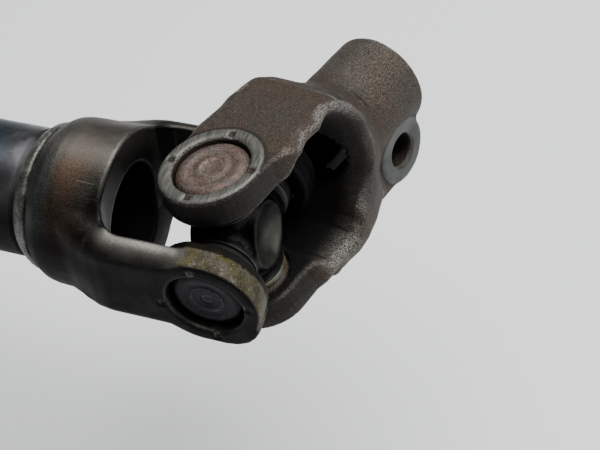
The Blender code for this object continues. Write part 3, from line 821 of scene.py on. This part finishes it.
def plain_metal(name, dark, light, metallic, rough, patch=3.0, grain=0.3, depth=0.03, seed=0.0,
                speck=(0.4, 0.38, 0.35), specks=0.3, rings=0.0, highlight_zone=None):
    """A small metal part: two tones in patches, with specks, pits, grain and lathe rings."""
    made, tree, shader = finish_material(name, metallic, rough)
    skin_out = use(tree, SKIN, Patch_Size=patch, Grain_Size=grain, Seed=seed)
    colour = blend(tree, skin_out["Patch"], dark, light)
    colour = mottle(tree, colour, between(tree, skin_out["Grain"], 0.35, 0.65),
                    (0.6, 0.6, 0.6), (1.5, 1.5, 1.5))
    colour = tint(tree, colour, skin_out["Speck"], specks, speck)
    if rings:
        here = add(tree, "ShaderNodeCombineXYZ", {"X": zone(tree, "radius")}).outputs["Vector"]
        ring = between(tree, noise(tree, here, 1.6, 2, 0.7, seed), 0.52, 0.66)
        broken = between(tree, skin_out["Grain"], 0.35, 0.6)
        colour = tint(tree, colour, maths(tree, "MULTIPLY", ring, broken), rings, speck)
    # Painted highlight in the given zone, lighter steel blended in.
    if highlight_zone:
        colour = blend(tree, zone(tree, highlight_zone), colour, DISH_HIGHLIGHT)
    shade = tuple(value * 0.3 for value in dark)
    colour = tint(tree, colour, skin_out["Pit"], 0.7, shade)
    roughness = between(tree, skin_out["Patch"], 0, 1, rough - 0.06, rough + 0.08)
    relief = maths(tree, "SUBTRACT", skin_out["Grain"], skin_out["Pit"])
    roughen(tree, shader, colour, roughness, relief, depth)
    return made


cross_skin = plain_metal("cross_skin", dark=(0.005, 0.005, 0.005), light=(0.012, 0.0115, 0.011),
                         metallic=0.95, rough=0.42, patch=3.5, grain=0.3, depth=0.03, seed=41,
                         speck=(0.12, 0.12, 0.10), specks=0.3, highlight_zone="dish")
finish(cross, cross_skin)


# Shaft tube -----------------------------------------------------------------------
# Drawn steel tube, welded to the fork and tinted brown and blue by that heat.  Its other
# end is open for the slide shaft.
TUBE_R = 14.75
TUBE_BORE_R = 11.6
TUBE_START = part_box("shaft_tube")[0][0] / MM
TUBE_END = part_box("shaft_tube")[1][0] / MM
SHAFT_PLACE = place(X_WAY, Z_WAY, Vector((0, 0, 0)))


def turned(name, profile, matrix, steps=96, closed=True, swell=None):
    """Piece turned about X from (x, radius) points; swell(angle) adds to the radius."""
    mesh = bmesh.new()
    rows = []
    for step in range(steps):
        angle = 2 * pi * step / steps
        extra = swell(angle) if swell else 0.0
        rows.append([mesh.verts.new((x, (r + extra) * cos(angle), (r + extra) * sin(angle)))
                     if r > 0 else mesh.verts.new((x, 0, 0)) for x, r in profile])
    pairs = list(zip(range(len(profile)), range(1, len(profile))))
    if closed:
        pairs.append((len(profile) - 1, 0))
    for row, following in zip(rows, rows[1:] + rows[:1]):
        for a, b in pairs:
            mesh.faces.new((row[a], row[b], following[b], following[a]))
    bmesh.ops.remove_doubles(mesh, verts=mesh.verts, dist=1e-5)
    bmesh.ops.dissolve_degenerate(mesh, edges=mesh.edges, dist=1e-6)
    bmesh.ops.recalc_face_normals(mesh, faces=mesh.faces)
    bmesh.ops.transform(mesh, matrix=matrix, verts=mesh.verts)
    data = bpy.data.meshes.new(name)
    mesh.to_mesh(data)
    mesh.free()
    inward = matrix.inverted()
    layer = data.attributes.new("radius", "FLOAT", "POINT")
    for share, vertex in zip(layer.data, data.vertices):
        share.value = (inward @ vertex.co).yz.length
    data.shade_smooth()
    data.set_sharp_from_angle(angle=radians(38))
    piece = bpy.data.objects.new(name, data)
    bpy.context.scene.collection.objects.link(piece)
    return piece


tube = turned("drawn_tube", [(TUBE_END - 1, TUBE_R), (TUBE_END, TUBE_R - 1), (TUBE_END, TUBE_BORE_R),
                             (TUBE_START + 0.4, TUBE_BORE_R), (TUBE_START, TUBE_BORE_R + 0.4),
                             (TUBE_START, TUBE_R - 0.8), (TUBE_START + 0.3, TUBE_R - 0.25),
                             (TUBE_START + 0.8, TUBE_R), (TUBE_START + 30, TUBE_R),
                             (TUBE_START + 60, TUBE_R), (TUBE_START + 90, TUBE_R)],
              SHAFT_PLACE, steps=144)
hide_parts("shaft_tube")
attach(tube, "fork_tube")


TUBE_DARK = (0.080, 0.079, 0.082)
TUBE_LIGHT = (0.118, 0.118, 0.122)
TUBE_BLUE = (0.042, 0.058, 0.078)
TUBE_BROWN = (0.100, 0.060, 0.042)
TUBE_SCRATCH = (0.20, 0.20, 0.20)
TUBE_SHADE = (0.005, 0.004, 0.0045)


def tube_steel():
    """Drawn tube with a brown and a blue band of heat tint round it, and painted shade on its underside."""
    made, tree, shader = finish_material("tube_skin", 0.85, 0.36)
    shader.inputs["Specular IOR Level"].default_value = 0.4
    here = add(tree, "ShaderNodeSeparateXYZ", {0: object_place(tree)}).outputs
    waver = maths(tree, "MULTIPLY", noise(tree, object_place(tree, (14, 14, 14)), 1, 4, 0.6, 1.0), 16.0)
    along = maths(tree, "SUBTRACT", maths(tree, "ADD", here["X"], waver), TUBE_END + 8.0)
    skin_out = use(tree, SKIN, Patch_Size=6.0, Grain_Size=0.3, Seed=21.0)
    colour = blend(tree, skin_out["Patch"], TUBE_DARK, TUBE_LIGHT)
    blue = maths(tree, "MULTIPLY", between(tree, along, -22, -12), between(tree, along, -2, -9))
    brown = maths(tree, "MULTIPLY", between(tree, along, -38, -26), between(tree, along, -16, -22))
    colour = tint(tree, colour, blue, 0.8, TUBE_BLUE)
    colour = tint(tree, colour, brown, 0.85, TUBE_BROWN)
    lines = use(tree, SCRATCHES, Amount=0.5)
    colour = blend(tree, lines["Scratch"], colour, TUBE_SCRATCH)
    # Painted shade on the underside, darker towards the bottom and the near side.
    upwards = maths(tree, "ADD", here["Z"], maths(tree, "MULTIPLY", here["Y"], 0.5))
    painted_under_shade = between(tree, upwards, 6.0, -2.0)
    colour = tint(tree, colour, painted_under_shade, 0.9, TUBE_SHADE)
    drawn = noise(tree, object_place(tree, (12, 0.35, 0.35)), 1, 2, 0.6, 6.0)
    rough = maths(tree, "ADD", between(tree, skin_out["Patch"], 0, 1, 0.30, 0.42),
                  maths(tree, "MULTIPLY", painted_under_shade, 0.35))
    roughen(tree, shader, colour, rough, maths(tree, "ADD", drawn, skin_out["Grain"]), 0.02)
    return made


finish(tube, tube_steel())


# Weld bead ------------------------------------------------------------------------
# One turn of weld metal that joins the tube's end to the fork's body.  It is laid in
# small ripples and then dressed nearly smooth.
def bead_swell(angle):
    """How far the bead stands out at this angle round the shaft."""
    return 0.09 * abs(sin(angle * 22)) + 0.08 * sin(angle * 3 + 1) + 0.05 * sin(angle * 7)


bead = turned("weld_ring", [(-41.5, 12.0), (-41.5, 16.3), (-41.75, 16.65), (-42.2, 16.75),
                            (-42.8, 16.6), (-43.5, 16.15), (-44.2, 15.6), (-44.7, 15.15),
                            (-44.95, 14.8), (-44.95, 12.0)], FORK_PLACE, 176, swell=bead_swell)
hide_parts("weld_bead")
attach(bead, "fork_tube")
weld_skin = plain_metal("weld_skin", dark=(0.060, 0.057, 0.047), light=(0.16, 0.165, 0.155),
                        metallic=0.6, rough=0.48, patch=5.0, grain=0.5, depth=0.06, seed=31,
                        speck=(0.2, 0.2, 0.19), specks=0.3)
finish(bead, weld_skin)


# Bearings --------------------------------------------------------------------------
# Each trunnion turns in a drawn steel cup full of needles, on a nylon thrust washer.
# The cup is a press fit in its ear.  A rubber seal closes its mouth, behind a pressed
# steel shield that sits on the cross.
CUP_R = 8.0
CUP_WALL = 1.2
CUP_BORE_R = CUP_R - CUP_WALL
CUP_END = 19.1
CUP_MOUTH = 12.0
# CUP_FACE is (radius, height), and each profile is (distance from the cross centre, radius).
CUP_FACE = [(0, -0.45), (1.5, -0.45), (2.3, -0.1), (2.7, 0), (3.4, 0), (3.8, -0.22), (4.8, -0.22),
            (5.3, 0), (6.2, 0), (6.9, -0.18), (7.5, -0.5), (7.9, -1.1), (CUP_R, -1.6)]
CUP_PROFILE = [(CUP_END + height, radius) for radius, height in CUP_FACE]
CUP_PROFILE += [(CUP_MOUTH + 0.4, CUP_R), (CUP_MOUTH, CUP_R - 0.3), (CUP_MOUTH, CUP_BORE_R + 0.2),
                (CUP_MOUTH + 0.2, CUP_BORE_R), (CUP_END - CUP_WALL, CUP_BORE_R),
                (CUP_END - CUP_WALL, 0)]
NEEDLES = 20
NEEDLE_R = 0.8
NEEDLE_START = CUP_MOUTH + 0.8
NEEDLE_LENGTH = TRUNNION_END - CUP_MOUTH - 0.9
NEEDLE_RING_R = (CUP_BORE_R + TRUNNION_R) / 2
WASHER_PROFILE = [(17.25, 1.0), (17.25, 5.6), (17.35, 5.8), (17.5, 5.8), (17.6, 5.6), (17.6, 1.0)]
SEAL_PROFILE = [(11.65, 7.6), (11.4, 7.95), (10.9, 7.7), (10.6, 7.95), (10.3, 7.6), (10.2, 6.4),
                (10.6, 5.2), (11.2, 5.1), (11.5, 5.5), (11.2, 6.2), (11.7, 6.8)]
SHIELD_PROFILE = [(9.9, 7.6), (9.8, 7.8), (9.5, 7.8), (9.5, 5.3), (9.7, 5.1), (9.9, 5.3)]


def needle_tree():
    """Needles standing in a ring round Z, as a tree with named sizes."""
    tree = bpy.data.node_groups.new("needle_ring", "GeometryNodeTree")
    tree.interface.new_socket("Geometry", in_out="OUTPUT", socket_type="NodeSocketGeometry")
    for name, kind in (("Count", "NodeSocketInt"), ("Ring Radius", "NodeSocketFloat"),
                       ("Needle Radius", "NodeSocketFloat"), ("Length", "NodeSocketFloat"),
                       ("Finish", "NodeSocketMaterial")):
        tree.interface.new_socket(name, in_out="INPUT", socket_type=kind)
    sizes = tree.nodes.new("NodeGroupInput")
    result = tree.nodes.new("NodeGroupOutput")
    ring = tree.nodes.new("GeometryNodeMeshCircle")
    needle = tree.nodes.new("GeometryNodeMeshCylinder")
    needle.inputs["Vertices"].default_value = 12
    copies = tree.nodes.new("GeometryNodeInstanceOnPoints")
    real = tree.nodes.new("GeometryNodeRealizeInstances")
    coat = tree.nodes.new("GeometryNodeSetMaterial")
    links = ((sizes.outputs["Count"], ring.inputs["Vertices"]),
             (sizes.outputs["Ring Radius"], ring.inputs["Radius"]),
             (sizes.outputs["Needle Radius"], needle.inputs["Radius"]),
             (sizes.outputs["Length"], needle.inputs["Depth"]),
             (ring.outputs["Mesh"], copies.inputs["Points"]),
             (needle.outputs["Mesh"], copies.inputs["Instance"]),
             (copies.outputs["Instances"], real.inputs["Geometry"]),
             (real.outputs["Geometry"], coat.inputs["Geometry"]),
             (sizes.outputs["Finish"], coat.inputs["Material"]),
             (coat.outputs["Geometry"], result.inputs["Geometry"]))
    for start, end in links:
        tree.links.new(start, end)
    return tree


def from_tree(name, tree, values, matrix):
    """Plain mesh piece made by a geometry tree, placed by its matrix."""
    maker = bpy.data.objects.new(name + "_maker", bpy.data.meshes.new(name))
    bpy.context.scene.collection.objects.link(maker)
    modifier = maker.modifiers.new("make", "NODES")
    modifier.node_group = tree
    for item in tree.interface.items_tree:
        if item.in_out == "INPUT" and item.name in values:
            modifier[item.identifier] = values[item.name]
    bpy.context.view_layer.update()
    ready = maker.evaluated_get(bpy.context.evaluated_depsgraph_get())
    mesh = bpy.data.meshes.new_from_object(ready)
    bpy.data.objects.remove(maker, do_unlink=True)
    mesh.transform(matrix)
    piece = bpy.data.objects.new(name, mesh)
    bpy.context.scene.collection.objects.link(piece)
    return piece


def facing(base, way):
    """A part's place turned so that its local X runs this way, for pieces on a pin."""
    turn = Vector((1, 0, 0)).rotation_difference(Vector(way)).to_matrix().to_4x4()
    return base @ turn


NEEDLE_TREE = needle_tree()
needle_steel = plain_metal("polished_needles", dark=(0.50, 0.50, 0.50), light=(0.60, 0.60, 0.60),
                           metallic=1.0, rough=0.2, patch=3.0, grain=0.2, depth=0.005, seed=91)


def soft_material(name, dark, light, rough, depth=0.04, seed=0.0):
    """Rubber or nylon: two tones in soft patches and a fine moulded grain."""
    made, tree, shader = finish_material(name, 0.0, rough)
    skin_out = use(tree, SKIN, Patch_Size=4.0, Grain_Size=0.5, Seed=seed)
    colour = blend(tree, skin_out["Patch"], dark, light)
    roughness = between(tree, skin_out["Patch"], 0, 1, rough - 0.08, rough + 0.08)
    roughen(tree, shader, colour, roughness, skin_out["Grain"], depth)
    return made


rusty_cup = plain_metal("rusty_cup", dark=(0.070, 0.039, 0.028), light=(0.056, 0.046, 0.040),
                        metallic=0.3, rough=0.55, patch=1.6, grain=0.4, depth=0.10, seed=51,
                        speck=(0.24, 0.18, 0.15), specks=0.6, rings=0.5)
# A near-black copy of the cup finish for the fork's cups: painted shade, for faces turned away from the lamps.
painted_shade_cup = plain_metal("painted_shade_cup", dark=(0.006, 0.0045, 0.006), light=(0.015, 0.012, 0.014),
                       metallic=0.95, rough=0.5, patch=2.0, grain=0.35, depth=0.03, seed=57,
                       speck=(0.11, 0.09, 0.11), specks=0.3, rings=0.8)
shield_steel = plain_metal("pressed_steel_skin", dark=(0.016, 0.016, 0.016),
                           light=(0.040, 0.040, 0.038), metallic=0.6, rough=0.42, patch=4.0,
                           grain=0.3, depth=0.02, seed=65, speck=(0.12, 0.12, 0.11), specks=0.3)
seal_rubber = soft_material("seal_rubber_skin", dark=(0.004, 0.004, 0.004),
                            light=(0.010, 0.010, 0.009), rough=0.6, seed=61)
green_grease = soft_material("greasy_seal_skin", dark=(0.006, 0.006, 0.004),
                             light=(0.085, 0.090, 0.018), rough=0.45, seed=63)
washer_nylon = soft_material("washer_nylon_skin", dark=(0.05, 0.14, 0.07),
                             light=(0.07, 0.18, 0.09), rough=0.5, seed=71)
BEARINGS = {"fork_near": (facing(FORK_PLACE, (0, -1, 0)), "fork_tube"),
            "fork_far": (facing(FORK_PLACE, (0, 1, 0)), "fork_tube"),
            "yoke_upper": (facing(YOKE_PLACE, (0, 0, 1)), "clamp_yoke"),
            "yoke_lower": (facing(YOKE_PLACE, (0, 0, -1)), "clamp_yoke")}
for label, (matrix, body) in BEARINGS.items():
    cup = turned("cup_" + label, CUP_PROFILE, matrix, closed=False)
    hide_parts("bearing_cup_" + label)
    # The fork's cups take the painted-shade copy of the cup finish.
    finish(cup, rusty_cup if body == "clamp_yoke" else painted_shade_cup)
    middle = Matrix.Translation((NEEDLE_START + NEEDLE_LENGTH / 2, 0, 0))
    standing = Matrix.Rotation(radians(90), 4, "Y")
    needles = from_tree("needles_" + label, NEEDLE_TREE,
                        {"Count": NEEDLES, "Ring Radius": NEEDLE_RING_R,
                         "Needle Radius": NEEDLE_R, "Length": NEEDLE_LENGTH,
                         "Finish": needle_steel}, matrix @ middle @ standing)
    needles.data.shade_smooth()
    needles.data.set_sharp_from_angle(angle=radians(40))
    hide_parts("needle_ring_" + label)
    washer = turned("washer_" + label, WASHER_PROFILE, matrix, 48)
    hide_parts("thrust_washer_" + label)
    finish(washer, washer_nylon)
    seal = turned("seal_" + label, SEAL_PROFILE, matrix, 72)
    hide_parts("cup_seal_" + label)
    finish(seal, green_grease if label == "yoke_lower" else seal_rubber)
    shield = turned("shield_" + label, SHIELD_PROFILE, matrix, 72)
    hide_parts("trunnion_shield_" + label)
    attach(shield, "cross")
    finish(shield, shield_steel)
    for piece in (cup, needles, washer, seal):
        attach(piece, body)


# Slide shaft ------------------------------------------------------------------------
# Ground steel bar with a sixteen-tooth spline that slides in the sleeve, and a serrated
# end with a bolt groove, which a coupling clamps on.
SPLINE_TEETH = 16
SPLINE_R = 10.0
SPLINE_ROOT_R = 8.8
SERRATION_TEETH = 36
SERRATION_R = 8.4
SERRATION_ROOT_R = 8.0
GROOVE_R = 6.4
SHAFT_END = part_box("slide_shaft")[1][0] / MM


def toothed(major, minor, teeth, tip=0.25):
    """Outline of a spline as (angle, radius): tip is half a tooth's width as a share of the pitch."""
    pitch = 2 * pi / teeth
    shape = ((minor, -0.36), (major - 0.15, -tip), (major, 0.1 - tip), (major, tip - 0.1),
             (major - 0.15, tip), (minor, 0.36))
    return [((tooth + share) * pitch, radius) for tooth in range(teeth) for radius, share in shape]


def toothed_bar(name, outline, stations, matrix):
    """Bar with a toothed section: stations are (x, most radius), which cuts its chamfers."""
    points, faces = [], []
    count = len(outline)
    for x, limit in stations:
        points += [(x, min(r, limit) * cos(a), min(r, limit) * sin(a)) for a, r in outline]
    for row in range(len(stations) - 1):
        for k in range(count):
            a, b = row * count + k, row * count + (k + 1) % count
            faces.append((a, b, b + count, a + count))
    faces.append(tuple(range(count - 1, -1, -1)))
    faces.append(tuple(range((len(stations) - 1) * count, len(stations) * count)))
    piece = new_piece(name, points, faces, matrix)
    shape = bmesh.new()
    shape.from_mesh(piece.data)
    bmesh.ops.recalc_face_normals(shape, faces=shape.faces)
    shape.to_mesh(piece.data)
    shape.free()
    piece.data.set_sharp_from_angle(angle=radians(25))
    return piece


bar = toothed_bar("splined_bar", toothed(SPLINE_R, SPLINE_ROOT_R, SPLINE_TEETH),
                  [(25.0, 8.3), (26.6, 9.9), (27.0, SPLINE_R), (SHAFT_END - 1.2, SPLINE_R),
                   (SHAFT_END, 8.9)], SHAFT_PLACE)
stub = toothed_bar("serrated_end", toothed(SERRATION_R, SERRATION_ROOT_R, SERRATION_TEETH),
                   [(0.0, 7.4), (1.0, SERRATION_R), (9.5, SERRATION_R), (11.3, GROOVE_R),
                    (16.7, GROOVE_R), (18.5, SERRATION_R), (23.5, SERRATION_R), (24.4, 7.6),
                    (26.0, 7.6)], SHAFT_PLACE)
ground_bar = plain_metal("ground_bar_skin", dark=(0.22, 0.22, 0.22), light=(0.28, 0.28, 0.275),
                         metallic=1.0, rough=0.34, patch=9.0, grain=0.25, depth=0.015, seed=81)
for piece in (bar, stub):
    finish(piece, ground_bar)
    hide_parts("slide_shaft")
    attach(piece, "slide_shaft")


# Tube mouth --------------------------------------------------------------------------
# A nylon sleeve in the tube has the inner spline.  A plated cap, pressed over the tube's
# end, holds a rubber wiper against the slide shaft.
wiper = turned("wiper_seal", [(TUBE_START - 0.35, 14.6), (TUBE_START - 4.9, 14.6),
                              (TUBE_START - 5.0, 12.2), (TUBE_START - 4.4, 10.9),
                              (TUBE_START - 3.6, 10.42), (TUBE_START - 3.1, 10.5),
                              (TUBE_START - 2.4, 11.4), (TUBE_START - 0.35, 11.8)], SHAFT_PLACE)
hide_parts("dust_seal")
finish(wiper, seal_rubber)
cap = turned("pressed_cap", [(TUBE_START + 6.9, 16.0), (TUBE_START - 4.6, 16.0),
                             (TUBE_START - 5.4, 15.75), (TUBE_START - 6.0, 15.2),
                             (TUBE_START - 6.25, 14.4), (TUBE_START - 6.25, 12.3),
                             (TUBE_START - 5.35, 12.3), (TUBE_START - 5.35, 14.4),
                             (TUBE_START - 5.0, 15.0), (TUBE_START - 4.4, 15.1),
                             (TUBE_START + 6.9, 15.1)], SHAFT_PLACE)
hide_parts("seal_retainer")
plated_steel = plain_metal("plated_cap", dark=(0.15, 0.15, 0.145), light=(0.24, 0.24, 0.23),
                           metallic=0.9, rough=0.38, patch=4.0, grain=0.3, depth=0.02, seed=66)
finish(cap, plated_steel)
sleeve = frame["nodes"]["spline_sleeve"]
sleeve_nylon = soft_material("sleeve_nylon_skin", dark=(0.50, 0.47, 0.38),
                             light=(0.62, 0.59, 0.50), rough=0.5, seed=75)
finish(sleeve, sleeve_nylon)
for piece in (wiper, cap):
    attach(piece, "fork_tube")


# Floor, light and camera ----------------------------------------------------------------
# A plain pale table 80 mm below the lowest point, a large soft lamp above and a weak one
# on the right.  The camera looks down on the joint from the near side.
TABLE_DROP = 0.08
TABLE_HALF = 3
CAMERA_SHIFT = Vector((54.493, -121.301, 147.537)) * MM
CAMERA_RIGHT = Vector((0.95887, 0.28219, -0.03080))
CAMERA_UP = Vector((-0.18963, 0.71750, 0.67025))
CAMERA_LENS = 55.285


def stage_material(name, colour):
    """A plain dull material for what isn't part of the object."""
    made = bpy.data.materials.new(name)
    made.use_nodes = True
    shader = made.node_tree.nodes["Principled BSDF"]
    shader.inputs["Base Color"].default_value = (*colour, 1)
    shader.inputs["Roughness"].default_value = 0.9
    return made


floor_z = cad_box[0][2] - TABLE_DROP
floor_corners = [(x, y, floor_z) for x, y in ((-TABLE_HALF, -TABLE_HALF), (TABLE_HALF, -TABLE_HALF),
                                              (TABLE_HALF, TABLE_HALF), (-TABLE_HALF, TABLE_HALF))]
floor_mesh = bpy.data.meshes.new("table_top")
floor_mesh.from_pydata(floor_corners, [], [(0, 1, 2, 3)])
floor_mesh.materials.append(stage_material("pale_table", (0.80, 0.815, 0.83)))
floor = bpy.data.objects.new("table_top", floor_mesh)
bpy.context.scene.collection.objects.link(floor)


def lamp(name, shift, size, power):
    """Round lamp this far from the cross centre, in metres, turned towards it."""
    light = bpy.data.lights.new(name, "AREA")
    light.shape = "DISK"
    light.size = size
    light.energy = power
    stand = bpy.data.objects.new(name, light)
    stand.location = joint_centre + Vector(shift)
    stand.rotation_euler = (-Vector(shift)).to_track_quat("-Z", "Y").to_euler()
    bpy.context.scene.collection.objects.link(stand)


lamp("overhead", (0.05, 0.20, 0.80), 1.0, 17.0)
lamp("right_side", (0.70, 0.10, 0.35), 0.5, 3.0)
world = bpy.data.worlds.new("studio")
world.use_nodes = True
world.node_tree.nodes["Background"].inputs["Color"].default_value = (0.93, 0.96, 1.0, 1)
world.node_tree.nodes["Background"].inputs["Strength"].default_value = 0.08
bpy.context.scene.world = world

camera_data = bpy.data.cameras.new("camera")
camera_data.lens = CAMERA_LENS
camera_data.sensor_width = 36
camera_data.clip_start = 0.01
camera = bpy.data.objects.new("camera", camera_data)
camera_back = CAMERA_RIGHT.cross(CAMERA_UP)
camera_turn = Matrix((CAMERA_RIGHT, CAMERA_UP, camera_back)).transposed().to_4x4()
camera.matrix_world = Matrix.Translation(joint_centre + CAMERA_SHIFT) @ camera_turn
bpy.context.scene.collection.objects.link(camera)
bpy.context.scene.camera = camera
